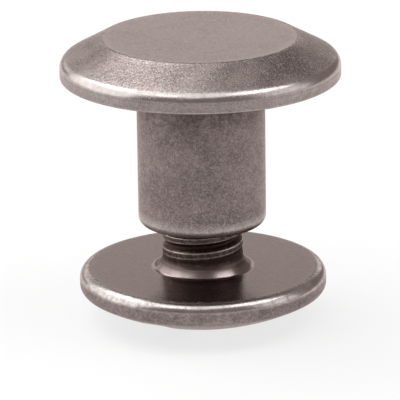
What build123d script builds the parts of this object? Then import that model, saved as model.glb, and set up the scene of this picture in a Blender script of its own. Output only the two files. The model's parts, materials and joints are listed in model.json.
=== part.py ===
from build123d import *
import math
import os

# Binding barrel screw, also called a screw post: a barrel nut with a bevelled flat-top head, and
# a machine screw with a domed head that turns into it. Sheets of leather or board lie between
# the two heads, round the barrel. Each of the two is made in one piece.
#
# Millimetres, +Z up. The common axis is Z. The origin is the crown of the domed head, on which
# the pair stands, so the screw is below and the barrel nut, partly unscrewed, is above.

# --- Thread: No. 8, 32 turns per inch, right-hand. It is left plain here. ---------------------
THREAD_DIAMETER = 4.14       # over the crests
THREAD_PITCH = 25.4 / 32
THREAD_CLEARANCE = 0.05      # radial, shank to bore
TURNS_OPEN = 3               # whole turns from closed to the pose as modelled
SEAT_GAP = 0.02              # left between barrel and screw head when closed

# --- Barrel nut -------------------------------------------------------------------------------
BARREL_DIAMETER = 6.55
BARREL_LENGTH = 7.77         # under the head; sold as 5/16 inch
BARREL_FOOT_CHAMFER = 0.20   # left in the corner between barrel and head
BARREL_MOUTH_ROUND = 0.50    # outer edge of the open end
NUT_HEAD_DIAMETER = 14.30
NUT_HEAD_THICKNESS = 2.05
NUT_FLAT_DIAMETER = 10.05    # flat top inside the bevel
NUT_BEVEL_DROP = 1.00
NUT_RIM_ROUND = 0.50         # bevel to rim
NUT_RIM_UNDER_CHAMFER = 0.12
BORE_RELIEF = 0.50           # full bore beyond the screw's tip when closed
DRILL_POINT_ANGLE = 118.0    # of the cone at the blind end

# --- Screw ------------------------------------------------------------------------------------
SCREW_HEAD_DIAMETER = 12.70  # 1/2 inch
SCREW_RIM_THICKNESS = 1.05
SCREW_CROWN_HEIGHT = 1.72    # dome below the rim
SCREW_RIM_INNER_ROUND = 0.50
SCREW_RIM_OUTER_ROUND = 0.40
SHANK_SETBACK = 0.34         # shank shorter than the barrel
TIP_CHAMFER = 0.45
TIP_DISH_DIAMETER = 2.30     # shallow hollow in the tip
TIP_DISH_DEPTH = 0.12
NECK_COLLAR = 0.49           # cone at 45 degrees between shank and head
NECK_CLEARANCE = 0.08        # barrel's countersink over the neck collar

# --- Combination drive recess in the domed head -------------------------------------------------
SLOT_WIDTH = 1.55
SLOT_DEPTH = 1.34            # below the crown, so the slot runs out on the dome inside the rim
SLOT_DIRECTION = 61.0        # degrees from +X, round +Z
CROSS_SPAN = 5.10            # over two opposite wings, at the crown's height; 4.8 on the dome
CROSS_WING_WIDTH = 1.42
CROSS_DEPTH = 2.05           # to the floor of the wings
CROSS_FLOOR_SPAN = 2.30
CROSS_FLOOR_WING_WIDTH = 0.95
CROSS_ROOT_ROUND = 0.45      # between one wing and the next
CROSS_END_ROUND = 0.22
CROSS_POINT_DEPTH = 0.35     # cone below the wings' floor

# --- What follows from those --------------------------------------------------------------------
shank_radius = THREAD_DIAMETER / 2
shank_length = BARREL_LENGTH - SHANK_SETBACK
bore_radius = shank_radius + THREAD_CLEARANCE
bore_depth = shank_length + BORE_RELIEF
drill_point = bore_radius / math.tan(math.radians(DRILL_POINT_ANGLE / 2))
countersink_radius = shank_radius + NECK_COLLAR + NECK_CLEARANCE
countersink_depth = countersink_radius - bore_radius
barrel_radius = BARREL_DIAMETER / 2
nut_head_radius = NUT_HEAD_DIAMETER / 2
screw_head_radius = SCREW_HEAD_DIAMETER / 2
dome_radius = (screw_head_radius**2 + SCREW_CROWN_HEIGHT**2) / (2 * SCREW_CROWN_HEIGHT)

screw_face_z = SCREW_CROWN_HEIGHT + SCREW_RIM_THICKNESS
mouth_z = screw_face_z + SEAT_GAP + TURNS_OPEN * THREAD_PITCH
nut_under_z = mouth_z + BARREL_LENGTH
nut_top_z = nut_under_z + NUT_HEAD_THICKNESS


def nearest_corner(section, across, height):
    """Corner of the half-section nearest to a radius from the axis and a height."""
    return section.vertices().sort_by_distance((across, height))[0]


def barrel_nut():
    """Flat-top bevelled head and barrel, turned in one piece, with a blind countersunk bore."""
    bevel_foot_z = nut_top_z - NUT_BEVEL_DROP
    mouth_round = min(BARREL_MOUTH_ROUND, 0.8 * (barrel_radius - countersink_radius))
    bore_end_z = mouth_z + bore_depth
    with BuildPart() as nut:
        with BuildSketch(Plane.XZ) as section:
            with BuildLine():
                Polyline(
                    (0, nut_top_z),
                    (NUT_FLAT_DIAMETER / 2, nut_top_z),
                    (nut_head_radius, bevel_foot_z),
                    (nut_head_radius, nut_under_z),
                    (barrel_radius, nut_under_z),
                    (barrel_radius, mouth_z),
                    (countersink_radius, mouth_z),
                    (bore_radius, mouth_z + countersink_depth),
                    (bore_radius, bore_end_z),
                    (0, bore_end_z + drill_point),
                    close=True,
                )
            make_face()
            fillet(nearest_corner(section, nut_head_radius, bevel_foot_z), NUT_RIM_ROUND)
            fillet(nearest_corner(section, barrel_radius, mouth_z), mouth_round)
            chamfer(nearest_corner(section, nut_head_radius, nut_under_z), NUT_RIM_UNDER_CHAMFER)
            chamfer(nearest_corner(section, barrel_radius, nut_under_z), BARREL_FOOT_CHAMFER)
        revolve(axis=Axis.Z)
    return nut.part


def screw_blank():
    """Shank with a chamfered, dished tip, on a coned collar and a round-edged domed head."""
    tip_z = screw_face_z + shank_length
    dome_half_angle = math.degrees(math.asin(screw_head_radius / dome_radius))
    with BuildPart() as blank:
        with BuildSketch(Plane.XZ) as section:
            with BuildLine():
                CenterArc((0, dome_radius), dome_radius, -90, dome_half_angle)
                Polyline(
                    (screw_head_radius, SCREW_CROWN_HEIGHT),
                    (screw_head_radius, screw_face_z),
                    (shank_radius, screw_face_z),
                    (shank_radius, tip_z - TIP_CHAMFER),
                    (shank_radius - TIP_CHAMFER, tip_z),
                    (TIP_DISH_DIAMETER / 2, tip_z),
                    (0, tip_z - TIP_DISH_DEPTH),
                    (0, 0),
                )
            make_face()
            fillet(nearest_corner(section, screw_head_radius, SCREW_CROWN_HEIGHT), SCREW_RIM_OUTER_ROUND)
            fillet(nearest_corner(section, screw_head_radius, screw_face_z), SCREW_RIM_INNER_ROUND)
            chamfer(nearest_corner(section, shank_radius, screw_face_z), NECK_COLLAR)
        revolve(axis=Axis.Z)
    return blank.part


def cross_outline(height, span, width):
    """Plan of the four wings at one height, with their roots and their ends rounded."""
    root_round = min(CROSS_ROOT_ROUND, 0.8 * ((span - width) / 2 - CROSS_END_ROUND))
    plane = Plane.XY.offset(height).rotated((0, 0, SLOT_DIRECTION))
    with BuildSketch(plane) as outline:
        Rectangle(span, width)
        Rectangle(width, span)
        fillet(outline.vertices().sort_by_distance((0, 0))[4:], CROSS_END_ROUND)
        fillet(outline.vertices().sort_by_distance((0, 0))[:4], root_round)
    return outline.sketch


def cross_recess():
    """Four wings that taper towards a cone at the centre, cut upwards from the crown."""
    mouth = cross_outline(0, CROSS_SPAN, CROSS_WING_WIDTH)
    floor = cross_outline(CROSS_DEPTH, CROSS_FLOOR_SPAN, CROSS_FLOOR_WING_WIDTH)
    wings = loft([mouth, floor])
    point = Cone(CROSS_FLOOR_WING_WIDTH / 2, 0, CROSS_POINT_DEPTH,
                 align=(Align.CENTER, Align.CENTER, Align.MIN))
    return wings + Pos(0, 0, CROSS_DEPTH) * point


def drive_slot():
    """Flat-floored slot right across the crown."""
    slot = Box(SCREW_HEAD_DIAMETER, SLOT_WIDTH, SLOT_DEPTH,
               align=(Align.CENTER, Align.CENTER, Align.MIN))
    return Rot(0, 0, SLOT_DIRECTION) * slot


def screw():
    """Screw blank with the slot and the cross recess cut into its dome."""
    return screw_blank() - drive_slot() - cross_recess()


def write_parts():
    """Write each piece to its own STEP file."""
    os.makedirs("parts", exist_ok=True)
    for name, make in (("barrel_nut", barrel_nut), ("screw", screw)):
        piece = make()
        piece.label = name
        export_step(piece, f"parts/{name}.step")


write_parts()
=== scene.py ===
"""Looks of the binding barrel screw: its barrel nut and its screw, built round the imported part.

The builders work in millimetres on the part's own axis, and a finished mesh is in metres.
"""

import json
import logging
import math
from dataclasses import dataclass, field
from enum import Enum
from typing import Callable, Sequence

import bmesh
import bpy
import numpy as np
from mathutils import Matrix, Vector, noise
from mathutils.geometry import delaunay_2d_cdt


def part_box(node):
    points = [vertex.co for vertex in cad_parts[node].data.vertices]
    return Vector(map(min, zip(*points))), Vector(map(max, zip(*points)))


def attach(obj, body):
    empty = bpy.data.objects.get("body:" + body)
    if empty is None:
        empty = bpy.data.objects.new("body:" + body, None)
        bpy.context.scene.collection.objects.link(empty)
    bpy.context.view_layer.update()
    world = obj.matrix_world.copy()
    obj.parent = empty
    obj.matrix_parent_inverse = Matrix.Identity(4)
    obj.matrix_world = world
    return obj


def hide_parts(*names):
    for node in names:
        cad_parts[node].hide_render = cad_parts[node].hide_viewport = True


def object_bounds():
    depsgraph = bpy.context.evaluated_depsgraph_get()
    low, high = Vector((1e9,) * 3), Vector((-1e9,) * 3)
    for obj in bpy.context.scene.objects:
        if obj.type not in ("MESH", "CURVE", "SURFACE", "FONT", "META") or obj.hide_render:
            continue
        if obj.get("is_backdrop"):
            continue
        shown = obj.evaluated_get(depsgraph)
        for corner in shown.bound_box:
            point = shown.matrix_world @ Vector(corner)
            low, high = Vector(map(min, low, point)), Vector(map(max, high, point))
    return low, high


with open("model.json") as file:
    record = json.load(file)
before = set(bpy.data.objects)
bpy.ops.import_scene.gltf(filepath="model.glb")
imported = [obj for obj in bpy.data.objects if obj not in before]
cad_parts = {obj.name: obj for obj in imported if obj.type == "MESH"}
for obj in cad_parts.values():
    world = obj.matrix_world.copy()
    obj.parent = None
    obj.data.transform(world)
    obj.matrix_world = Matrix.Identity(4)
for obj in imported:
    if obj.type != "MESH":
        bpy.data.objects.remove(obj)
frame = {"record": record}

LOG = logging.getLogger("binding_barrel_screw")
MILLIMETRE = 0.001
FULL_TURN = 2 * math.pi
COLUMNS = 240                # steps round the axis in every turned surface
WELD_REACH = 0.0008          # millimetres within which points become one
PLAN_ERROR = 1e-7            # the same for places in plan
SHARP_ANGLE = 38.0           # degrees between faces from which an edge stays sharp

Colour = tuple[float, float, float]
Array = np.ndarray
Socket = bpy.types.NodeSocket


class Mark(Enum):
    """What is painted on a mesh's points for the finish to read, each from 0 to 1."""

    WEAR = "wear"            # raised edges worn bright, and painted highlights
    RECESS = "recess"        # places that kept a dark patina, and painted shade under and between parts
    SATIN = "satin"          # flat faces that the tumbling media hardly reached


WEAR, RECESS = 0, 1          # columns of the first two marks


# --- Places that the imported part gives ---


def in_millimetres(corner: Vector) -> tuple[float, float, float]:
    """A place in metres as three numbers in millimetres."""
    return tuple(value / MILLIMETRE for value in corner)


def mount_named(name: str) -> dict:
    """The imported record's mount of that name."""
    return next(mount for mount in frame["record"]["mounts"] if mount["name"] == name)


def mount_height(name: str) -> float:
    """Height of a mount above the part's origin, in millimetres."""
    return mount_named(name)["pos_m"][2] / MILLIMETRE


# --- Small sums ---


def eased(value: Array | float, start: float, end: float) -> Array | float:
    """A smooth step over a value, from 0 at the start to 1 at the end."""
    share = np.clip((np.asarray(value, float) - start) / (end - start), 0.0, 1.0)
    return share * share * (3 - 2 * share)


def soft_clip(value: Array, ease: float) -> Array:
    """Clip to 0..1 with both corners rounded.

    Args:
        value: Numbers to clip.
        ease: Half width of each rounded corner.

    Returns:
        The clipped numbers.
    """
    foot = (value + ease) ** 2 / (4 * ease)
    low = np.where(value < -ease, 0.0, np.where(value > ease, value, foot))
    past = low - 1
    shoulder = low - (past + ease) ** 2 / (4 * ease)
    return np.where(past < -ease, low, np.where(past > ease, 1.0, shoulder))


def steps_round(count: int) -> Array:
    """Angles of even steps right round the axis, in radians."""
    return np.arange(count) * FULL_TURN / count


def on_circle(angles: Array) -> Array:
    """Places in plan at a distance of 1 from the axis."""
    return np.stack([np.cos(angles), np.sin(angles)], axis=-1)


def turned(plan: Array, angle: float) -> Array:
    """Places in plan, turned about the axis by an angle in radians."""
    cosine, sine = math.cos(angle), math.sin(angle)
    return plan @ np.array([[cosine, sine], [-sine, cosine]])


def gap_to(places: Array, others: Array) -> Array:
    """Distance in plan from each place to the nearest of the others."""
    return np.sqrt(((places[:, None] - others[None]) ** 2).sum(axis=2)).min(axis=1)


def painted(shape: tuple[int, ...], wear: Array | float = 0.0,
            recess: Array | float = 0.0) -> Array:
    """Marks for places laid out in a shape.

    Args:
        shape: Rows and columns of places.
        wear: Bright worn edges and painted highlights, for all of them or for each.
        recess: Dark patina and painted shade, for all of them or for each.

    Returns:
        The marks of each place in the last axis, in the order of Mark.
    """
    marks = np.zeros((*shape, len(Mark)))
    marks[..., WEAR], marks[..., RECESS] = wear, recess
    return marks


# --- Turned surfaces ---


@dataclass(frozen=True)
class Corner:
    """One corner of a turned profile, in millimetres from the axis and above the origin."""

    across: float
    height: float
    round: float = 0.0       # radius of the corner
    wear: float = 0.0        # how bright it is: worn edges and painted highlights
    recess: float = 0.0      # how dark it is: dark patina and painted shade
    reach: float = 0.30      # how far that darkening fades out along the surface
    satin: float = 0.0       # smooth face from here to the next corner
    painted_shade: float = 0.0        # even painted shade from here to the next corner


@dataclass
class Profile:
    """Half-section of a turned surface: corners joined by straight runs, with true rounds."""

    corners: Sequence[Corner]
    longest_run: float = 0.42
    support: float = 0.035   # rings that hold a face flat beside a round
    arc_steps: int = 8
    wear_and_sheen_reach: float = 0.11
    wear_and_sheen_share: float = 0.65      # middle share of a round that is fully bright, worn and painted highlight

    def rings(self) -> tuple[Array, Array]:
        """Sample the half-section.

        Returns:
            Points (across, height), and for each the marks in the order of Mark.
        """
        points: list[Array] = []
        faced: list[tuple[float, float]] = []
        spans: list[tuple[float, float, Corner]] = []
        before = self.corners[0]
        for index, corner in enumerate(self.corners):
            arc = self._arc(index)
            if points:
                run = self._run(points[-1], arc[0])
                points.extend(run)
                faced.extend([(before.painted_shade, before.satin)] * len(run))
            first = len(points)
            points.extend(arc)
            between = (min(before.painted_shade, corner.painted_shade), min(before.satin, corner.satin))
            faced.extend([between] * len(arc))
            spans.append((first, len(points) - 1, corner))
            before = corner
        places = np.array(points)
        along = np.concatenate([[0.0], np.cumsum(np.hypot(*np.diff(places, axis=0).T))])
        marks = painted((len(places),))
        marks[:, RECESS:] = faced
        # Worn brightness and painted highlights, and dark patina and painted shade, fade out from
        # each corner.
        for first, last, corner in spans:
            start, half = along[first], (along[last] - along[first]) / 2
            away = np.maximum(0.0, np.maximum(start - along, along - along[last]))
            aside = np.maximum(0.0, np.abs(along - start - half) - self.wear_and_sheen_share * half)
            wear = corner.wear * np.exp(-((aside / self.wear_and_sheen_reach) ** 2))
            recess = corner.recess * np.exp(-away / corner.reach)
            marks[:, WEAR] = np.maximum(marks[:, WEAR], wear)
            marks[:, RECESS] = np.maximum(marks[:, RECESS], recess)
        return places, marks

    def _arc(self, index: int) -> list[Array]:
        """Sample the round at one corner.

        Args:
            index: Number of the corner.

        Returns:
            Points of the round, or the bare corner.
        """
        corner = self.corners[index]
        here = np.array([corner.across, corner.height])
        if not corner.round or index in (0, len(self.corners) - 1):
            return [here]
        before, after = self.corners[index - 1], self.corners[index + 1]
        back = np.array([before.across, before.height]) - here
        onward = np.array([after.across, after.height]) - here
        back, onward = back / np.linalg.norm(back), onward / np.linalg.norm(onward)
        half = math.acos(float(np.clip(back @ onward, -1, 1))) / 2
        reach = corner.round / math.tan(half)
        middle = back + onward
        centre = here + middle / np.linalg.norm(middle) * corner.round / math.sin(half)
        start, end = here + back * reach - centre, here + onward * reach - centre
        angle = math.atan2(start[1], start[0])
        turn = (math.atan2(end[1], end[0]) - angle + math.pi) % FULL_TURN - math.pi
        turns = angle + turn * np.arange(self.arc_steps + 1) / self.arc_steps
        return list(centre + corner.round * on_circle(turns))

    def _run(self, start: Array, end: Array) -> list[Array]:
        """Sample a straight run, with a point held close to each end.

        Args:
            start: Where the run starts.
            end: Where it ends.

        Returns:
            Points strictly between the two.
        """
        length = float(np.linalg.norm(end - start))
        if length < 3 * self.support:
            return []
        pieces = max(1, math.ceil((length - 2 * self.support) / self.longest_run))
        inner = np.linspace(self.support, length - self.support, pieces + 1)
        return [start + (end - start) * distance / length for distance in inner]


@dataclass
class Surface:
    """Points, marks and faces of one piece, gathered before they are welded into a mesh."""

    points: list[Array] = field(default_factory=list)
    marks: list[Array] = field(default_factory=list)
    faces: list[tuple[int, ...]] = field(default_factory=list)
    count: int = 0

    def add_points(self, points: Array, marks: Array) -> int:
        """Add points.

        Args:
            points: Places, one row each, in millimetres.
            marks: Marks of each, in the order of Mark.

        Returns:
            The number of the first new point.
        """
        first = self.count
        self.points.append(np.asarray(points, float))
        self.marks.append(np.asarray(marks, float))
        self.count += len(points)
        return first

    def add_grid(self, points: Array, marks: Array, closed: bool) -> None:
        """Add rows of points joined by four-sided faces.

        Args:
            points: Places as rows × columns × 3.
            marks: Marks as rows × columns × marks.
            closed: Whether the last column joins the first.
        """
        rows, columns = points.shape[:2]
        first = self.add_points(points.reshape(-1, 3), marks.reshape(-1, len(Mark)))
        index = first + np.arange(rows * columns).reshape(rows, columns)
        if closed:
            index = np.column_stack([index, index[:, :1]])
        below, above = index[:-1], index[1:]
        sides = np.stack([below[:, :-1], below[:, 1:], above[:, 1:], above[:, :-1]], axis=-1)
        self.faces += sides.reshape(-1, 4).tolist()

    def add_turned(self, profile: Profile) -> None:
        """Turn a profile about the axis; a point on the axis becomes a pole.

        Args:
            profile: The half-section.
        """
        places, marks = profile.rings()
        grid = np.zeros((len(places), COLUMNS, 3))
        grid[:, :, :2] = places[:, None, :1] * on_circle(steps_round(COLUMNS))[None]
        grid[:, :, 2] = places[:, None, 1]
        self.add_grid(grid, np.repeat(marks[:, None], COLUMNS, axis=1), closed=True)

    def add_between(self, outline: Array, hole: Array | None, inner: Array,
                    height_at: Callable[[Array], Array],
                    marks_at: Callable[[Array], Array]) -> None:
        """Fill a level region, seen from above, with triangles.

        Args:
            outline: Closed outer edge, one row for each place in plan.
            hole: Closed inner edge, or None.
            inner: Further places inside the region.
            height_at: Height for places in plan.
            marks_at: Marks for places in plan.
        """
        loops = [outline] if hole is None else [outline, hole]
        plan = np.concatenate([*loops, inner.reshape(-1, 2)])
        edges, start = [], 0
        for loop in loops:
            edges += [(start + k, start + (k + 1) % len(loop)) for k in range(len(loop))]
            start += len(loop)
        made = delaunay_2d_cdt([Vector(place) for place in plan], edges, [], 0, PLAN_ERROR)
        corners = np.array([list(place) for place in made[0]])
        triangles = np.array([list(face) for face in made[2]])
        centres = corners[triangles].mean(axis=1)
        keep = within(centres, outline)
        if hole is not None:
            keep &= ~within(centres, hole)
        first = self.add_points(np.column_stack([corners, height_at(corners)]), marks_at(corners))
        self.faces += (first + triangles[keep]).tolist()

    def mesh(self, name: str, dents: "TumbleDents") -> bpy.types.Object:
        """Weld everything into one smooth closed mesh object.

        Args:
            name: Name of the object and its mesh.
            dents: Shallow dents left by the tumbling.

        Returns:
            The object, at the part's origin.
        """
        data = bpy.data.meshes.new(name)
        places = np.concatenate(self.points) * MILLIMETRE
        data.from_pydata(places.tolist(), [], self.faces)
        marks = np.concatenate(self.marks)
        for column, mark in enumerate(Mark):
            layer = data.attributes.new(mark.value, "FLOAT", "POINT")
            layer.data.foreach_set("value", np.ascontiguousarray(marks[:, column], np.float32))
        shape = bmesh.new()
        shape.from_mesh(data)
        bmesh.ops.remove_doubles(shape, verts=shape.verts, dist=WELD_REACH * MILLIMETRE)
        loose = [vertex for vertex in shape.verts if not vertex.link_faces]
        bmesh.ops.delete(shape, geom=loose, context="VERTS")
        bmesh.ops.recalc_face_normals(shape, faces=shape.faces)
        dents.press(shape)
        open_edges = sum(1 for edge in shape.edges if len(edge.link_faces) != 2)
        shape.to_mesh(data)
        triangles = sum(len(face.verts) - 2 for face in shape.faces)
        shape.free()
        data.shade_smooth()
        data.set_sharp_from_angle(angle=math.radians(SHARP_ANGLE))
        LOG.info("%s: %d triangles, %d edges without two faces", name, triangles, open_edges)
        piece = bpy.data.objects.new(name, data)
        bpy.context.scene.collection.objects.link(piece)
        return piece


def within(places: Array, loop: Array) -> Array:
    """Whether places in plan lie inside a closed loop.

    Args:
        places: Places, one row each.
        loop: Corners of the loop in order.

    Returns:
        True or False for each place.
    """
    inside = np.zeros(len(places), bool)
    x, y = places[:, 0], places[:, 1]
    for (x0, y0), (x1, y1) in zip(loop, np.roll(loop, -1, axis=0)):
        if y0 != y1:
            crosses = ((y0 > y) != (y1 > y)) & (x < (x1 - x0) * (y - y0) / (y1 - y0) + x0)
            inside ^= crosses
    return inside


@dataclass(frozen=True)
class TumbleDents:
    """Shallow hollows and bumps that tumbling leaves on open faces, in millimetres."""

    broad: float = 0.9               # from one broad hollow to the next
    broad_depth: float = 0.0030
    close: float = 0.33
    close_depth: float = 0.0010
    close_shift: tuple[float, float, float] = (7.3, 1.9, 4.1)
    chatter: float = 0.45            # along worn edges
    chatter_depth: float = 0.003
    chatter_shift: tuple[float, float, float] = (2.2, 9.1, 5.7)
    satin_calm: float = 0.8          # share of the depth that a smooth face loses
    recess_calm: float = 2.0         # how soon a recess loses all of it

    def press(self, shape: bmesh.types.BMesh) -> None:
        """Move the points of open faces along their normals.

        Args:
            shape: The welded piece, in metres.
        """
        shape.normal_update()
        wear, recess, satin = (shape.verts.layers.float[mark.value] for mark in Mark)
        close_shift, chatter_shift = Vector(self.close_shift), Vector(self.chatter_shift)
        moves = []
        for vertex in shape.verts:
            place = vertex.co / MILLIMETRE
            open_share = max(0.0, 1.0 - self.recess_calm * vertex[recess])
            open_share *= 1.0 - self.satin_calm * vertex[satin]
            depth = self.broad_depth * noise.noise(place / self.broad)
            depth += self.close_depth * noise.noise(place / self.close + close_shift)
            chatter = noise.noise(place / self.chatter + chatter_shift)
            depth += self.chatter_depth * vertex[wear] * chatter
            moves.append(vertex.normal * (depth * open_share * MILLIMETRE))
        for vertex, move in zip(shape.verts, moves):
            vertex.co += move


# --- Thread ---


@dataclass(frozen=True)
class ThreadForm:
    """No. 8-32 right-hand thread that shank and bore share, in millimetres."""

    pitch: float = 25.4 / 32
    crest: float = 2.07
    root: float = 1.64
    crest_land: float = 0.28
    root_land: float = 0.10
    crest_at_east: float = 4.13      # height of one crest where it passes +X
    corner_ease: float = 0.08        # share of the flank that each corner's round takes
    edge_width: float = 0.032        # of the bright line along each edge of the crest, a painted highlight on worn edges

    @property
    def flank(self) -> float:
        """Height along the axis that one flank takes."""
        return (self.pitch - self.crest_land - self.root_land) / 2

    def away(self, angle: Array, height: Array) -> Array:
        """Distance along the axis from the middle of the nearest crest, up to half the pitch."""
        turns = (height - self.crest_at_east) / self.pitch - angle / FULL_TURN
        return np.abs((turns + 0.5) % 1.0 - 0.5) * self.pitch

    def ridge(self, away: Array) -> Array:
        """Share of the ridge's height, 1 on the crest and 0 at the root."""
        return 1.0 - soft_clip((away - self.crest_land / 2) / self.flank, self.corner_ease)

    def edge(self, away: Array) -> Array:
        """How near a place is to either edge of the crest, 1 on the edge itself."""
        return np.exp(-(((away - self.crest_land / 2) / self.edge_width) ** 2))

    def rows(self) -> list[float]:
        """Places of the mesh's rows over one pitch, closer together at the crest's corners.

        Returns:
            Shares of the pitch, from the middle of a crest.
        """
        half, ease = self.crest_land / 2, self.corner_ease * self.flank
        foot = half + self.flank
        flank = half + self.flank * np.array((0.25, 0.5, 0.75))
        down = [half / 2, half - ease, half, half + ease, *flank, foot - ease, foot, foot + ease]
        shares = [distance / self.pitch for distance in down]
        return [0.0, *shares, 0.5, *(1 - share for share in reversed(shares))]

    def wall(self, bottom: float, top: float) -> tuple[Array, Array]:
        """Lay rows that follow the helix between two heights.

        Args:
            bottom: Height of the lower end.
            top: Height of the upper end.

        Returns:
            Angle and height of each place, as rows × columns + 1.
        """
        first = math.floor((bottom - self.crest_at_east) / self.pitch) - 1
        last = math.ceil((top - self.crest_at_east) / self.pitch) + 1
        starts = np.array([self.crest_at_east + self.pitch * (turn + row)
                           for turn in range(first, last) for row in self.rows()])
        angles = np.arange(COLUMNS + 1) * FULL_TURN / COLUMNS
        heights = starts[:, None] + self.pitch * angles[None] / FULL_TURN
        return np.broadcast_to(angles, heights.shape), np.clip(heights, bottom, top)


def cylinder_places(radius: Array, angle: Array, height: Array) -> Array:
    """Places from radius, angle and height, stacked in the last axis."""
    return np.stack([radius * np.cos(angle), radius * np.sin(angle), height], axis=-1)


# --- Barrel nut ---


@dataclass
class BarrelNut:
    """Bevelled flat-top head on a threaded barrel, with a blind bore."""

    finish: "AntiqueNickel"
    thread: ThreadForm = ThreadForm()
    flat_across: float = 10.05
    bevel_drop: float = 1.16
    flat_edge_round: float = 0.32
    rim_round: float = 0.60
    rim_under_round: float = 0.12
    foot_round: float = 0.22
    mouth_round: float = 0.42
    countersink_radius: float = 2.64
    countersink_depth: float = 0.52
    bore_depth: float = 7.93
    tapping_radius: float = 1.74
    running_gap: float = 0.05
    lead_in: tuple[float, float] = (2.90, 3.90)     # where the thread grows, from the mouth
    run_out: tuple[float, float] = (7.55, 7.88)
    drill_point_angle: float = 118.0

    def build(self) -> bpy.types.Object:
        """Make the piece, dress it and set it on its body.

        Returns:
            The finished object.
        """
        low, high = (in_millimetres(corner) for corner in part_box("barrel_nut"))
        surface = Surface()
        surface.add_turned(self._outside(high[0], low[2], high[2]))
        self._add_bore(surface, low[2])
        piece = surface.mesh("barrel_nut_body", TumbleDents())
        piece.data.materials.append(self.finish.material())
        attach(piece, "barrel_nut")
        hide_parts("barrel_nut")
        return piece

    def _outside(self, head_radius: float, mouth: float, top: float) -> Profile:
        """Draw the outside, from the middle of the flat top to the countersink's foot.

        Args:
            head_radius: Radius of the head.
            mouth: Height of the barrel's open end.
            top: Height of the flat top.

        Returns:
            The half-section.
        """
        barrel_radius = mount_named("barrel_outside")["dims"]["r_mm"]
        under = mount_height("barrel_clamp_face")
        bore_radius = self.thread.crest + self.running_gap
        return Profile([
            Corner(0.0, top, satin=0.60),
            Corner(self.flat_across / 2, top, self.flat_edge_round, wear=0.15),
            # The rim's rounds are worn bright, with painted highlights laid on them.
            Corner(head_radius, top - self.bevel_drop, self.rim_round, wear=0.60),
            # Painted highlight: a brighter band along the middle of the rim's side.
            Corner(head_radius, (top - self.bevel_drop + under) / 2, wear=0.34),
            Corner(head_radius, under, self.rim_under_round, wear=0.35, satin=0.8),
            # Painted shade: the barrel is darker under the head, fading down over 2.2 mm, and a
            # little darker all along.
            Corner(barrel_radius, under, self.foot_round, recess=0.78, reach=2.2, painted_shade=0.20),
            # Painted highlight: a bright band just above the mouth's round.
            Corner(barrel_radius, mouth + 1.04 * self.mouth_round, wear=0.5),
            # Painted shade on the lower edge of the mouth's round.
            Corner(barrel_radius, mouth, self.mouth_round, recess=0.25, reach=0.2),
            Corner(self.countersink_radius, mouth, 0.03, wear=0.3, recess=0.3),
            Corner(bore_radius, mouth + self.countersink_depth, recess=1.0),
        ])

    def _add_bore(self, surface: Surface, mouth: float) -> None:
        """Add the bore, with a plain lead-in and the drill's cone at its blind end.

        Args:
            surface: The piece's surface so far.
            mouth: Height of the barrel's open end.
        """
        bottom, top = mouth + self.countersink_depth, mouth + self.bore_depth
        outer = self.thread.crest + self.running_gap
        angle, height = self.thread.wall(bottom, top)
        ridge = self.thread.ridge(self.thread.away(angle, height))
        grown = eased(height, mouth + self.lead_in[0], mouth + self.lead_in[1])
        left = 1 - eased(height, mouth + self.run_out[0], mouth + self.run_out[1])
        groove = (1 - grown * (1 - ridge)) * left
        radius = self.tapping_radius + (outer - self.tapping_radius) * groove
        marks = painted(radius.shape, wear=0.5 * eased(1 - groove, 0.8, 1.0),
                        recess=0.55 + 0.45 * groove)
        surface.add_grid(cylinder_places(radius, angle, height), marks, closed=False)
        rise = self.tapping_radius / math.tan(math.radians(self.drill_point_angle / 2))
        surface.add_turned(Profile([
            Corner(self.tapping_radius, top, recess=1.0),
            Corner(0.0, top + rise, recess=1.0),
        ]))


# --- Screw ---


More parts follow.
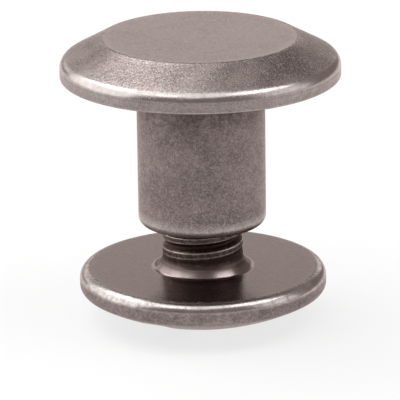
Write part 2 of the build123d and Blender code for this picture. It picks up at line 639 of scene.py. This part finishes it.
@dataclass(frozen=True)
class DriveRecess:
    """Slot right across the domed head, crossed at its middle by shorter tapered wings."""

    direction: float = 61.0          # of the slot, degrees from +X
    slot_width: float = 1.45
    slot_depth: float = 1.34
    wing_span: float = 4.80          # over both wings, where they open on the dome
    wing_width: float = 1.30
    shelf_span: float = 3.27         # the same at the slot's floor
    shelf_width: float = 1.08
    floor_depth: float = 2.05
    floor_span: float = 2.30
    floor_width: float = 0.95
    point_depth: float = 0.35
    inner_round: float = 0.42        # between slot and wing
    outer_round: float = 0.24
    lip_round: float = 0.10
    ledge: float = 0.03
    lip_steps: int = 5
    wall_steps: int = 4
    wall_crowding: float = 1.2       # above 1, rings crowd towards the lip
    side_steps: int = 26
    side_crowding: float = 1.35      # above 1, points crowd towards the slot's end
    bend_steps: int = 8              # round each corner
    floor_fade: tuple[float, float] = (3.9, 5.6)     # radii between which its dark floor fades
    mouth_wear: float = 0.75

    def _outline(self, reach: float, half_slot: float, half_span: float, half_wing: float,
                 inner: float) -> tuple[Array, Array]:
        """Plan of the recess at one level, along the slot and across it.

        Args:
            reach: Radius at which the slot ends.
            half_slot: Half the slot's width.
            half_span: Half the span of the wings.
            half_wing: Half the width of a wing.
            inner: Radius where wing and slot meet.

        Returns:
            Places in plan, and the unit vector from each into the metal.
        """
        def bend(x: float, y: float, radius: float, turns: Array,
                 side: float = 1.0) -> tuple[Array, Array]:
            """A round about a centre, with the metal outside it, or inside for a side of -1."""
            way = on_circle(turns)
            return (x, y) + radius * way, side * way

        def run(x: Array | float, y: Array | float, nx: float,
                ny: float) -> tuple[Array, Array]:
            """A straight run, with the metal in the one direction (nx, ny)."""
            plan = np.stack(np.broadcast_arrays(x, y), axis=-1)
            return plan, np.broadcast_to((nx, ny), plan.shape)

        def all_round(quarter: Array, last: tuple[float, float]) -> Array:
            """Mirror a quarter into a closed loop; last lies opposite its first place."""
            half = np.concatenate([quarter, (quarter * (-1.0, 1.0))[-2:0:-1], [last]])
            return np.concatenate([half, (half * (1.0, -1.0))[-2:0:-1]])

        end = math.asin(half_slot / reach)
        start, stop = reach * math.cos(end), half_wing + inner
        shares = np.linspace(0, 1, self.side_steps + 1)[:-1] ** self.side_crowding
        bends = np.arange(self.bend_steps + 1) / self.bend_steps
        outer = self.outer_round
        low, high = half_slot + inner, half_span - outer
        quarter, away = (np.concatenate(rows) for rows in zip(
            bend(0.0, 0.0, reach, end * np.arange(5) / 5),
            run(start + (stop - start) * shares, half_slot, 0.0, 1.0),
            bend(stop, low, inner, np.radians(270 - 90 * bends), side=-1.0),
            run(half_wing, low + (high - low) * np.arange(1, 6) / 6, 1.0, 0.0),
            bend(half_wing - outer, high, outer, np.radians(90 * bends)),
            run((half_wing - outer) * (1 - np.arange(1, 4) / 3), half_span, 0.0, 1.0),
        ))
        return all_round(quarter, (-reach, 0.0)), all_round(away, (-1.0, 0.0))

    def _facing(self, plan: Array) -> Array:
        """Places along and across the slot, turned to the slot's direction."""
        return turned(plan, math.radians(self.direction))

    def add_to(self, surface: Surface, dome_radius: float, edge: float) -> None:
        """Close the dome inside a circle, with the recess sunk in it.

        Args:
            surface: The screw's surface so far.
            dome_radius: Radius of the dome's sphere.
            edge: Radius of the circle where the turned dome ends.
        """
        def dome(plan: Array) -> Array:
            """Height of the dome over places in plan."""
            return dome_radius - np.sqrt(dome_radius**2 - (plan**2).sum(axis=-1))

        reach = math.sqrt(2 * dome_radius * self.slot_depth - self.slot_depth**2)
        outline, away = self._outline(reach, self.slot_width / 2, self.wing_span / 2,
                                      self.wing_width / 2, self.inner_round)
        room = np.maximum(0.0, self.slot_depth - dome(outline))
        lip = np.minimum(self.lip_round, 0.45 * room)
        sunk = np.clip(room / self.slot_depth * 2.2, 0, 1)
        loops, levels, marks = [], [], []

        def ring(plan: Array, level: Array, wear: float, recess: float) -> None:
            """Keep one loop round the recess.

            Args:
                plan: Its places in plan, along the slot and across it.
                level: Height of each.
                wear: How brightly it is worn.
                recess: How much dark patina it kept, where the slot is deep.
            """
            loops.append(plan)
            levels.append(level)
            marks.append(painted((len(plan),), wear, recess * (0.25 + 0.75 * sunk)))

        beside = away * lip[:, None]
        edge_height = dome(outline + beside)
        for k in range(self.lip_steps + 1):
            share = k / self.lip_steps
            turn = math.radians(90 * share)
            ring(outline + beside * (1 - math.sin(turn)), edge_height + lip * (1 - math.cos(turn)),
                 self.mouth_wear - 0.35 * share, 0.1 * share)
        shelf, _ = self._outline(reach, self.slot_width / 2, self.shelf_span / 2 + self.ledge,
                                 self.shelf_width / 2 + self.ledge, self.inner_round)
        brink, brink_level = loops[-1], levels[-1]
        for k in range(1, self.wall_steps + 1):
            share = (k / self.wall_steps) ** self.wall_crowding
            ring(brink + (shelf - brink) * share,
                 brink_level + (self.slot_depth - brink_level) * share, 0.0, 0.35 + 0.65 * share)
        rings = [np.column_stack([self._facing(plan), level]) for plan, level in zip(loops, levels)]
        surface.add_grid(np.stack(rings), np.stack(marks), closed=True)

        rim, mouth = edge * on_circle(steps_round(COLUMNS)), self._facing(loops[0])
        surface.add_between(rim, mouth, self._dome_places(edge, mouth), dome,
                            lambda plan: self._near(plan, mouth))
        self._add_wings(surface, self._facing(shelf))

    def _dome_places(self, edge: float, mouth: Array) -> Array:
        """Spread places over the dome, clear of the recess's mouth.

        Args:
            edge: Radius of the circle where the turned dome ends.
            mouth: Loop of the recess's mouth.

        Returns:
            The places in plan.
        """
        step, spacing = 0.26, 0.27       # from circle to circle, and round each
        places = []
        for radius in np.arange(edge - step, 0.3, -step):
            count = max(8, round(FULL_TURN * radius / spacing))
            offset = 0.5 * (round(radius / step) % 2)
            places.append(radius * on_circle((np.arange(count) + offset) * FULL_TURN / count))
        spread = np.concatenate(places)
        side, end = 0.22, 0.14           # how far a last ring stands off the slot and the wings
        beside = self._facing(self._outline(
            edge - 0.02, self.slot_width / 2 + side, self.wing_span / 2 + end,
            self.wing_width / 2 + end, self.inner_round * 0.8)[0])
        room = 0.12                      # least distance between the sets of places
        beside = beside[(gap_to(beside, mouth) > 0.05) & (np.hypot(*beside.T) < edge - room)]
        clear = (gap_to(spread, mouth) > 0.13) & (gap_to(spread, beside) > room)
        return np.concatenate([spread[clear & ~within(spread, mouth)], beside])

    def _near(self, plan: Array, mouth: Array) -> Array:
        """Marks for places on the dome: bright within 0.1 mm or so of the recess's mouth."""
        wear = self.mouth_wear * np.exp(-((gap_to(plan, mouth) / 0.10) ** 2))
        return painted((len(plan),), wear)

    def _add_wings(self, surface: Surface, shelf: Array) -> None:
        """Add the slot's floor, the tapered walls below it and the wings' pointed floor.

        Args:
            surface: The screw's surface so far.
            shelf: Loop round the slot's floor.
        """
        def cross(span: float, width: float, level: float) -> Array:
            """Loop of the four wings at one level."""
            plan = self._cross_plan(span / 2, width / 2, min(0.22, width / 4))
            return np.column_stack([self._facing(plan), np.full(len(plan), level)])

        def floor_marks(plan: Array) -> Array:
            """Dark along the slot's floor, lighter where it runs out."""
            fade = eased(np.hypot(*plan.T), *self.floor_fade)
            return painted((len(plan),), recess=1.0 - 0.75 * fade)

        def point_height(plan: Array) -> Array:
            """Height of the wings' floor, a cone over its middle."""
            rise = np.clip(1 - np.hypot(*plan.T) / foot, 0, 1)
            return self.floor_depth + self.point_depth * rise

        upper = cross(self.shelf_span, self.shelf_width, self.slot_depth)
        middle = cross((self.shelf_span + self.floor_span) / 2,
                       (self.shelf_width + self.floor_width) / 2,
                       (self.slot_depth + self.floor_depth) / 2)
        lower = cross(self.floor_span, self.floor_width, self.floor_depth)
        grid = np.stack([upper, middle, lower])
        surface.add_grid(grid, painted(grid.shape[:2], recess=1.0), closed=True)

        along = np.linspace(-5.3, 5.3, 49)
        across = np.linspace(-0.5, 0.5, 5) * self.slot_width * 0.9
        inner = self._facing(np.stack(np.meshgrid(along, across), axis=-1).reshape(-1, 2))
        hole = upper[:, :2]
        inner = inner[(gap_to(inner, hole) > 0.08) & ~within(inner, hole) & within(inner, shelf)]
        surface.add_between(shelf, hole, inner, lambda plan: np.full(len(plan), self.slot_depth),
                            floor_marks)

        half = self.floor_width / 2
        foot = half * 0.94               # radius of the cone
        circle = on_circle(steps_round(20))
        inner = np.concatenate([circle * foot, circle[::2] * half * 0.5, [[0.0, 0.0]]])
        surface.add_between(lower[:, :2], None, inner, point_height,
                            lambda plan: painted((len(plan),), recess=1.0))

    @staticmethod
    def _cross_plan(half_span: float, half_wing: float, corner: float) -> Array:
        """Plan of four equal wings with rounded ends and roots.

        Args:
            half_span: Half the span over two opposite wings.
            half_wing: Half a wing's width.
            corner: Radius of every corner.

        Returns:
            Places in plan, in order round the middle.
        """
        outer, inner = half_span - corner, half_wing + corner
        side = np.linspace(outer, inner, 6)[1:-1]
        sweep = np.radians(np.linspace(0, 90, 7))
        bend = corner * on_circle(np.radians(np.linspace(0, 90, 7)))
        quarter = np.concatenate([
            bend + (outer, half_wing - corner),
            np.stack([side, np.full(len(side), half_wing)], axis=1),
            (inner, inner) - bend[:, ::-1],
            np.stack([np.full(len(side), half_wing), side[::-1]], axis=1),
            bend + (half_wing - corner, outer),
        ])
        return np.concatenate([turned(quarter, angle) for angle in steps_round(4)])


@dataclass
class Screw:
    """Domed head with a drive recess, a coned collar and a threaded shank."""

    finish: "AntiqueNickel"
    thread: ThreadForm = ThreadForm()
    recess: DriveRecess = DriveRecess()
    crown_height: float = 1.72
    inner_rim_round: float = 0.50
    outer_rim_round: float = 0.40
    collar_width: float = 0.44       # cone between shank and head
    collar_height: float = 0.45
    collar_top_round: float = 0.35
    collar_foot_round: float = 0.28
    tip_chamfer: float = 0.45
    tip_dish_radius: float = 1.15
    tip_dish_width: float = 0.25     # of its sloping edge
    tip_dish_depth: float = 0.12
    neck_top: float = 0.63           # where the thread starts to grow, above the head's inner face
    thread_full: float = 2.60        # where it has its full depth
    dome_edge: float = 5.92          # radius inside which the recess closes the dome
    dome_start: float = 5.98         # radius inside which the rim's round has ended

    def build(self) -> bpy.types.Object:
        """Make the piece, dress it and set it on its body.

        Returns:
            The finished object.
        """
        _, high = (in_millimetres(corner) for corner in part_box("screw"))
        face = mount_height("screw_clamp_face")
        surface = Surface()
        self._add_head(surface, high[0], face)
        self._add_shank(surface, face, high[2])
        piece = surface.mesh("screw_body", TumbleDents())
        piece.data.materials.append(self.finish.material())
        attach(piece, "screw")
        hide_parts("screw")
        return piece

    def _add_head(self, surface: Surface, head_radius: float, face: float) -> None:
        """Add collar, inner face, rim and dome, with the recess.

        Args:
            surface: The screw's surface so far.
            head_radius: Radius of the head.
            face: Height of the head's inner face.
        """
        dome_radius = (head_radius**2 + self.crown_height**2) / (2 * self.crown_height)

        def on_dome(across: float) -> float:
            """Height of the dome at a distance from the axis."""
            return dome_radius - math.sqrt(dome_radius**2 - across**2)

        shank = self.thread.crest
        surface.add_turned(Profile([
            # Dark patina and painted shade on the neck and the collar's top, between head and
            # barrel.
            Corner(shank, face + self.neck_top, recess=0.8, reach=0.08, painted_shade=0.55, satin=0.9),
            Corner(shank, face + self.collar_height, self.collar_top_round, recess=0.62, reach=0.16,
                   satin=1.0),
            # Painted shade evenly over the head's inner face.
            Corner(shank + self.collar_width, face, self.collar_foot_round, satin=0.95, painted_shade=0.38),
            # The inner rim is worn bright with a painted highlight on it; painted shade down the
            # rim's side and over the dome's edge.
            Corner(head_radius, face, self.inner_rim_round, wear=0.85, painted_shade=0.31),
            Corner(head_radius, self.crown_height, self.outer_rim_round, wear=0.1, painted_shade=0.32),
            *(Corner(across, on_dome(across)) for across in (self.dome_start, self.dome_edge)),
        ]))
        self.recess.add_to(surface, dome_radius, self.dome_edge)

    def _add_shank(self, surface: Surface, face: float, tip: float) -> None:
        """Thread that grows out of the plain neck, a chamfered end and its shallow dish.

        Args:
            surface: The screw's surface so far.
            face: Height of the head's inner face.
            tip: Height of the screw's tip.
        """
        form = self.thread
        neck = face + self.neck_top
        angle, height = form.wall(neck, tip)
        away = form.away(angle, height)
        ridge = form.ridge(away)
        grown = eased(height, neck, face + self.thread_full)
        dark = eased(height, neck, neck + 0.16)
        depth = (form.crest - form.root) * grown * (1 - ridge)
        end_radius = form.crest - self.tip_chamfer
        radius = np.minimum(form.crest - depth, end_radius + (tip - height))
        # Painted highlights along both edges of each crest, laid on as worn lines.
        line = form.edge(away) * dark
        # Dark patina and painted shade over the whole thread, darkest in the grooves.
        sunk = 0.68 - 0.08 * grown + (0.32 + 0.08 * grown) * dark * (1 - ridge)
        marks = painted(radius.shape, (0.30 + 0.65 * grown) * line, sunk * (1 - 0.75 * line))
        surface.add_grid(cylinder_places(radius, angle, height), marks, closed=False)
        slope = self.tip_dish_radius - self.tip_dish_width
        surface.add_turned(Profile([
            Corner(end_radius, tip, wear=0.5),
            Corner(self.tip_dish_radius, tip, 0.06, wear=0.3),
            Corner(slope, tip - 0.7 * self.tip_dish_depth, 0.12, recess=0.35, reach=0.12),
            Corner(0.0, tip - self.tip_dish_depth, recess=0.1),
        ]))


# --- Finish, with painted highlights and painted shade ---


class NodeDesk:
    """Short ways to lay and join shader nodes in one tree."""

    def __init__(self, tree: bpy.types.NodeTree) -> None:
        """Take the tree to work on."""
        self.tree = tree

    def add(self, kind: str, **settings: object) -> bpy.types.Node:
        """Add a node.

        Args:
            kind: The node's type name.
            **settings: Properties to set on it.

        Returns:
            The node.
        """
        node = self.tree.nodes.new(kind)
        for key, value in settings.items():
            setattr(node, key, value)
        return node

    def feed(self, target: Socket, source: object) -> None:
        """Join a socket to a target, or set a plain value on it.

        Args:
            target: An input socket.
            source: An output socket, or a value.
        """
        if isinstance(source, Socket):
            self.tree.links.new(source, target)
        else:
            target.default_value = source

    def result(self, kind: str, sources: dict[int | str, object], output: int | str = 0,
               **settings: object) -> Socket:
        """Add a node and give one of its outputs.

        Args:
            kind: The node's type name.
            sources: What feeds each input, by the input's number or name.
            output: Number or name of the output.
            **settings: Properties to set on the node.

        Returns:
            The output socket.
        """
        node = self.add(kind, **settings)
        for key, source in sources.items():
            self.feed(node.inputs[key], source)
        return node.outputs[output]

    def place(self) -> Socket:
        """Place on the object, in metres."""
        return self.result("ShaderNodeTexCoord", {}, "Object")

    def painted(self, mark: Mark) -> Socket:
        """One of the marks painted on the mesh."""
        return self.result("ShaderNodeAttribute", {}, "Fac", attribute_name=mark.value)

    def maths(self, operation: str, first: object, second: object = 0.0,
              clamp: bool = False) -> Socket:
        """Result of a Math node, held within 0..1 if clamp is set."""
        return self.result("ShaderNodeMath", {0: first, 1: second}, operation=operation,
                           use_clamp=clamp)

    def times(self, first: object, second: object) -> Socket:
        """Product of two numbers."""
        return self.maths("MULTIPLY", first, second)

    def plus(self, first: object, second: object) -> Socket:
        """Sum of two numbers."""
        return self.maths("ADD", first, second)

    def mix(self, share: object, first: object, second: object) -> Socket:
        """Mix of two numbers, the first at a share of 0."""
        return self.result("ShaderNodeMix", {"Factor": share, 2: first, 3: second},
                           data_type="FLOAT")

    def tint(self, share: object, first: object, second: object, blend: str = "MIX") -> Socket:
        """Mix of two colours, the first at a share of 0."""
        return self.result("ShaderNodeMix", {"Factor": share, 6: first, 7: second}, 2,
                           data_type="RGBA", blend_type=blend)

    def grey(self, value: object) -> Socket:
        """A number as a grey colour."""
        return self.result("ShaderNodeCombineColor", {0: value, 1: value, 2: value}, "Color")

    def spread(self, value: object, low: float, high: float, to_low: float = 0.0,
               to_high: float = 1.0) -> Socket:
        """A value mapped smoothly from one range onto another, and held at its ends."""
        ends = {0: value, 1: low, 2: high, 3: to_low, 4: to_high}
        return self.result("ShaderNodeMapRange", ends, interpolation_type="SMOOTHSTEP")

    def cloud(self, place: object, size: float, detail: float = 2.0, rough: float = 0.5,
              lean: float = 0.0) -> Socket:
        """Noise over a place in metres, with features of a size in millimetres."""
        return self.result("ShaderNodeTexNoise", {
            "Vector": place, "Scale": 1 / (size * MILLIMETRE), "Detail": detail,
            "Roughness": rough, "Distortion": lean}, "Fac")


def effect_group(name: str, inputs: dict[str, float], outputs: Sequence[str],
                 wire: Callable[[NodeDesk, bpy.types.NodeOutputs], Sequence[Socket]]
                 ) -> bpy.types.NodeTree:
    """Build a shared shader effect once.

    Args:
        name: Name of the group.
        inputs: Start value of each input.
        outputs: Name of each output.
        wire: Lays the nodes, given the desk and the group's inputs, and returns what feeds
            each output.

    Returns:
        The node group.
    """
    known = bpy.data.node_groups.get(name)
    if known:
        return known
    tree = bpy.data.node_groups.new(name, "ShaderNodeTree")
    for label in (*inputs, *outputs):
        side = "INPUT" if label in inputs else "OUTPUT"
        tree.interface.new_socket(name=label, in_out=side, socket_type="NodeSocketFloat")
    for item in tree.interface.items_tree:
        if item.in_out == "INPUT":
            item.default_value = inputs[item.name]
    desk = NodeDesk(tree)
    made = wire(desk, desk.add("NodeGroupInput").outputs)
    end = desk.add("NodeGroupOutput")
    for label, source in zip(outputs, made):
        desk.feed(end.inputs[label], source)
    return tree


def tumbled_grain(desk: NodeDesk, given: bpy.types.NodeOutputs) -> Sequence[Socket]:
    """Lay the fine light and dark speckle of a tumbled plating.

    Args:
        desk: The group's desk.
        given: The group's inputs.

    Returns:
        The speckle, the broad clouds in it and its relief.
    """
    place, calm = desk.place(), given["Calm"]
    fine = desk.cloud(place, 0.055, detail=3.0, rough=0.7)
    coarse = desk.cloud(place, 0.13, detail=2.0, rough=0.6, lean=0.4)
    patch = desk.cloud(place, 1.6, detail=3.0, rough=0.55)
    speckle = desk.plus(desk.times(fine, 0.62), desk.times(coarse, 0.38))
    speckle = desk.mix(calm, desk.spread(speckle, 0.36, 0.64), 0.5)
    relief = desk.plus(desk.times(coarse, 0.6), desk.times(fine, 0.4))
    relief = desk.mix(calm, relief, 0.5)
    pits = desk.spread(desk.cloud(place, 0.085, detail=1.0, rough=0.6), 0.50, 0.61, 0.0, 1.3)
    pits = desk.mix(desk.spread(calm, 0.0, 0.5), pits, 0.0)
    return speckle, desk.spread(patch, 0.32, 0.68), desk.maths("SUBTRACT", relief, pits)


def rubbed_edges_and_sheen(desk: NodeDesk, given: bpy.types.NodeOutputs) -> Sequence[Socket]:
    """Lay the bright rubbing and painted highlights along raised edges, broken up with noise.

    Args:
        desk: The group's desk.
        given: The group's inputs.

    Returns:
        How bright each place is, from worn edges and painted highlights.
    """
    place = desk.place()
    broken = desk.spread(desk.cloud(place, 0.45, detail=4.0, rough=0.72), 0.25, 0.7, 0.72, 1.15)
    patchy = desk.spread(desk.cloud(place, 1.9, detail=1.0), 0.3, 0.7, 0.82, 1.12)
    level = desk.times(desk.times(desk.painted(Mark.WEAR), broken), patchy)
    return [desk.maths("MULTIPLY", level, given["Amount"], clamp=True)]


def dark_bath_and_shade(desk: NodeDesk, given: bpy.types.NodeOutputs) -> Sequence[Socket]:
    """Lay the dark patina that stays in recesses and the painted shade under and between parts,
    fading unevenly out of them.

    Args:
        desk: The group's desk.
        given: The group's inputs.

    Returns:
        How dark each place is.
    """
    uneven = desk.cloud(desk.place(), 0.28, detail=3.0, rough=0.6)
    uneven = desk.spread(uneven, 0.25, 0.75, -0.14, 0.14)
    level = desk.plus(desk.painted(Mark.RECESS), desk.mix(given["Calm"], uneven, 0.0))
    level = desk.spread(level, 0.06, 0.95)
    return [desk.maths("MULTIPLY", level, given["Amount"], clamp=True)]


@dataclass(frozen=True)
class AntiqueNickel:
    """Tumbled antique nickel plating: warm grey, bright on its worn edges and in painted
    highlights, dark in its recesses and in painted shade.
    """

    name: str
    body: Colour = (0.262, 0.206, 0.199)
    pale: Colour = (0.346, 0.297, 0.289)
    dull: Colour = (0.198, 0.152, 0.145)
    # dark: patina and painted shade; bright: worn edges and painted highlights
    dark: Colour = (0.043, 0.024, 0.019)
    bright: Colour = (0.64, 0.568, 0.550)
    edge_tint: Colour = (0.95, 0.87, 0.855)
    roughness: float = 0.31
    satin_roughness: float = 0.20
    rubbed_roughness: float = 0.18
    dark_roughness: float = 0.42
    grain_height: float = 0.012      # millimetres
    rub_and_sheen: float = 1.0
    bath_and_shade: float = 1.0
    satin_calm: float = 0.9          # how far a smooth face loses grain and unevenness
    edge_calm: float = 0.87          # how far worn edges and painted highlights lose grain
    cloud_calm: float = 0.75         # how far a smooth face loses the broad clouds

    def material(self) -> bpy.types.Material:
        """Build the material.

        Returns:
            The material.
        """
        material = bpy.data.materials.new(self.name)
        material.use_nodes = True
        material.node_tree.nodes.clear()
        desk = NodeDesk(material.node_tree)
        shader = desk.add("ShaderNodeBsdfPrincipled")
        shader.inputs["Metallic"].default_value = 1.0
        shader.inputs["Specular Tint"].default_value = (*self.edge_tint, 1)
        surface = desk.add("ShaderNodeOutputMaterial")
        desk.feed(surface.inputs["Surface"], shader.outputs["BSDF"])

        satin = desk.painted(Mark.SATIN)
        smooth = desk.times(satin, self.satin_calm)
        grain, rubbed_and_sheen, bath_and_shade = (
            desk.add("ShaderNodeGroup", node_tree=effect_group(name, inputs, outputs, wire))
            for name, inputs, outputs, wire in (
                ("Tumbled grain", {"Calm": 0.0}, ("Speckle", "Cloud", "Relief"), tumbled_grain),
                ("Worn edges and sheen", {"Amount": 1.0}, ("Worn and sheen",), rubbed_edges_and_sheen),
                ("Dark bath", {"Amount": 1.0, "Calm": 0.0}, ("Dark",), dark_bath_and_shade)))
        rubbed_and_sheen.inputs["Amount"].default_value = self.rub_and_sheen
        bath_and_shade.inputs["Amount"].default_value = self.bath_and_shade
        desk.feed(bath_and_shade.inputs["Calm"], smooth)
        edge, dark = rubbed_and_sheen.outputs["Worn and sheen"], bath_and_shade.outputs["Dark"]
        calm = desk.maths("MAXIMUM", smooth, desk.times(edge, self.edge_calm))
        desk.feed(grain.inputs["Calm"], calm)
        speckle = grain.outputs["Speckle"]
        cloud = desk.mix(desk.times(smooth, self.cloud_calm), grain.outputs["Cloud"], 0.5)

        colour = desk.tint(desk.spread(speckle, 0.0, 0.5), (*self.dull, 1), (*self.body, 1))
        colour = desk.tint(desk.spread(speckle, 0.5, 1.0), colour, (*self.pale, 1))
        shade = desk.spread(cloud, 0.0, 1.0, 0.86, 1.08)
        colour = desk.tint(1.0, colour, desk.grey(shade), "MULTIPLY")
        # Bright worn edges and painted highlights, then dark patina and painted shade.
        colour = desk.tint(edge, colour, (*self.bright, 1))
        colour = desk.tint(dark, colour, (*self.dark, 1))
        desk.feed(shader.inputs["Base Color"], colour)

        rough = desk.mix(satin, self.roughness, self.satin_roughness)
        rough = desk.plus(rough, desk.spread(cloud, 0.0, 1.0, -0.035, 0.035))
        rough = desk.plus(rough, desk.spread(speckle, 0.0, 1.0, 0.05, -0.05))
        rough = desk.mix(edge, rough, self.rubbed_roughness)
        rough = desk.mix(dark, rough, self.dark_roughness)
        desk.feed(shader.inputs["Roughness"], rough)

        bump = desk.add("ShaderNodeBump")
        bump.inputs["Strength"].default_value = 1.0
        bump.inputs["Distance"].default_value = self.grain_height * MILLIMETRE
        desk.feed(bump.inputs["Height"], grain.outputs["Relief"])
        desk.feed(shader.inputs["Normal"], bump.outputs["Normal"])
        return material


# --- Studio ---


@dataclass(frozen=True)
class Softbox:
    """One soft light: where it stands as seen from the object, its size and its brightness."""

    name: str
    azimuth: float           # degrees from +X, round +Z
    elevation: float
    distance: float          # metres
    width: float
    height: float
    brightness: float        # of its own face
    tone: Colour = (0.93, 1.0, 1.0)

    def place(self, centre: Vector) -> None:
        """Set the light up, facing the object.

        Args:
            centre: Middle of the object.
        """
        turn, tilt = math.radians(self.azimuth), math.radians(self.elevation)
        level = math.cos(tilt)
        outward = Vector((math.cos(turn) * level, math.sin(turn) * level, math.sin(tilt)))
        data = bpy.data.lights.new(self.name, "AREA")
        data.shape = "RECTANGLE"
        data.size, data.size_y = self.width, self.height
        data.energy = self.brightness * math.pi * self.width * self.height
        data.color = self.tone
        light = bpy.data.objects.new(self.name, data)
        light.location = centre + outward * self.distance
        light.rotation_euler = outward.to_track_quat("Z", "Y").to_euler()
        light.visible_camera = False
        bpy.context.scene.collection.objects.link(light)


@dataclass
class Studio:
    """Pale floor lit softly from below, soft lights and the camera."""

    camera_distance: float = 0.200
    camera_elevation: float = 17.0
    camera_roll: float = 0.78
    lens: float = 352.4
    aim_height: float = 0.4179       # share of the object's height
    aim_aside: float = -0.000107
    eye_height: float = 0.5992       # share of the object's height the distance is taken from
    floor_side: float = 3.0
    floor_glow: float = 0.76
    floor_colour: Colour = (0.178, 0.17, 0.17)
    floor_dims: tuple[float, float] = (-0.048, -0.015)   # where the glow fades, in front
    floor_front: float = 0.56        # share of the glow that is left there
    fill: Colour = (0.292, 0.260, 0.252)
    softboxes: Sequence[Softbox] = (
        Softbox("overhead softbox", 215, 80, 0.42, 0.64, 0.44, 1.28),
        Softbox("front left softbox", 222, 60, 0.42, 0.15, 0.17, 2.0),
        Softbox("left softbox", 130, 54, 0.42, 0.26, 0.25, 2.05),
        Softbox("left panel", 172, 29, 0.60, 0.90, 0.64, 1.60),
        Softbox("right softbox", 352, 58, 0.42, 0.24, 0.18, 3.2),
        Softbox("right panel", 345, 22, 0.60, 0.50, 0.40, 0.93),
        Softbox("back panel", 98, 16, 0.80, 0.90, 0.20, 1.00),
    )

    def build(self) -> None:
        """Set the whole studio up round the object."""
        low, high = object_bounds()
        centre = (low + high) / 2
        self._add_floor(low.z)
        self._light_world()
        for softbox in self.softboxes:
            softbox.place(centre)
        self._add_camera(low.z, high.z)

    def _add_floor(self, level: float) -> None:
        """Add the plain pale floor.

        Args:
            level: Its height, in metres.
        """
        half = self.floor_side / 2
        data = bpy.data.meshes.new("floor")
        data.from_pydata([(-half, -half, level), (half, -half, level), (half, half, level),
                          (-half, half, level)], [], [(0, 1, 2, 3)])
        floor = bpy.data.objects.new("floor", data)
        bpy.context.scene.collection.objects.link(floor)
        material = bpy.data.materials.new("pale floor")
        material.use_nodes = True
        desk = NodeDesk(material.node_tree)
        shader = material.node_tree.nodes["Principled BSDF"]
        shader.inputs["Base Color"].default_value = (*self.floor_colour, 1)
        shader.inputs["Emission Color"].default_value = (1.0, 1.0, 1.0, 1)
        place = desk.result("ShaderNodeSeparateXYZ", {0: desk.place()}, "Y")
        # Painted shade: the floor's glow is dimmer towards the front.
        glow = desk.spread(place, *self.floor_dims, self.floor_front * self.floor_glow,
                           self.floor_glow)
        desk.feed(shader.inputs["Emission Strength"], glow)
        shader.inputs["Roughness"].default_value = 0.9
        shader.inputs["Specular IOR Level"].default_value = 0.1
        data.materials.append(material)
        floor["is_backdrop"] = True

    def _light_world(self) -> None:
        """Even fill light from all round."""
        world = bpy.data.worlds.new("studio fill")
        world.use_nodes = True
        world.node_tree.nodes["Background"].inputs["Color"].default_value = (*self.fill, 1)
        world.node_tree.nodes["Background"].inputs["Strength"].default_value = 1.0
        bpy.context.scene.world = world
        bpy.context.scene.view_settings.view_transform = "Standard"

    def _add_camera(self, bottom: float, top: float) -> None:
        """Camera in front of the object and a little above it.

        Args:
            bottom: Lowest height of the object, in metres.
            top: Highest height of the object, in metres.
        """
        tilt = math.radians(self.camera_elevation)
        eye = Vector((0, 0, bottom + (top - bottom) * self.eye_height))
        eye += self.camera_distance * Vector((0, -math.cos(tilt), math.sin(tilt)))
        aim = Vector((self.aim_aside, 0, bottom + (top - bottom) * self.aim_height))
        data = bpy.data.cameras.new("camera")
        data.lens, data.sensor_width = self.lens, 36.0
        data.clip_start, data.clip_end = 0.01, 20.0
        camera = bpy.data.objects.new("camera", data)
        facing = (aim - eye).to_track_quat("-Z", "Y").to_matrix().to_4x4()
        roll = Matrix.Rotation(math.radians(-self.camera_roll), 4, "Z")
        camera.matrix_world = Matrix.Translation(eye) @ facing @ roll
        bpy.context.scene.collection.objects.link(camera)
        bpy.context.scene.camera = camera


def main() -> None:
    """Build both pieces and the studio round them."""
    logging.basicConfig(level=logging.INFO, format="%(name)s: %(message)s")
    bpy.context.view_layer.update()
    Studio().build()
    for maker in (Screw(AntiqueNickel("antique nickel, screw")),
                  BarrelNut(AntiqueNickel("antique nickel, barrel nut"))):
        piece = maker.build()
        LOG.info("built %s", piece.name)


if __name__ == "__main__":
    main()
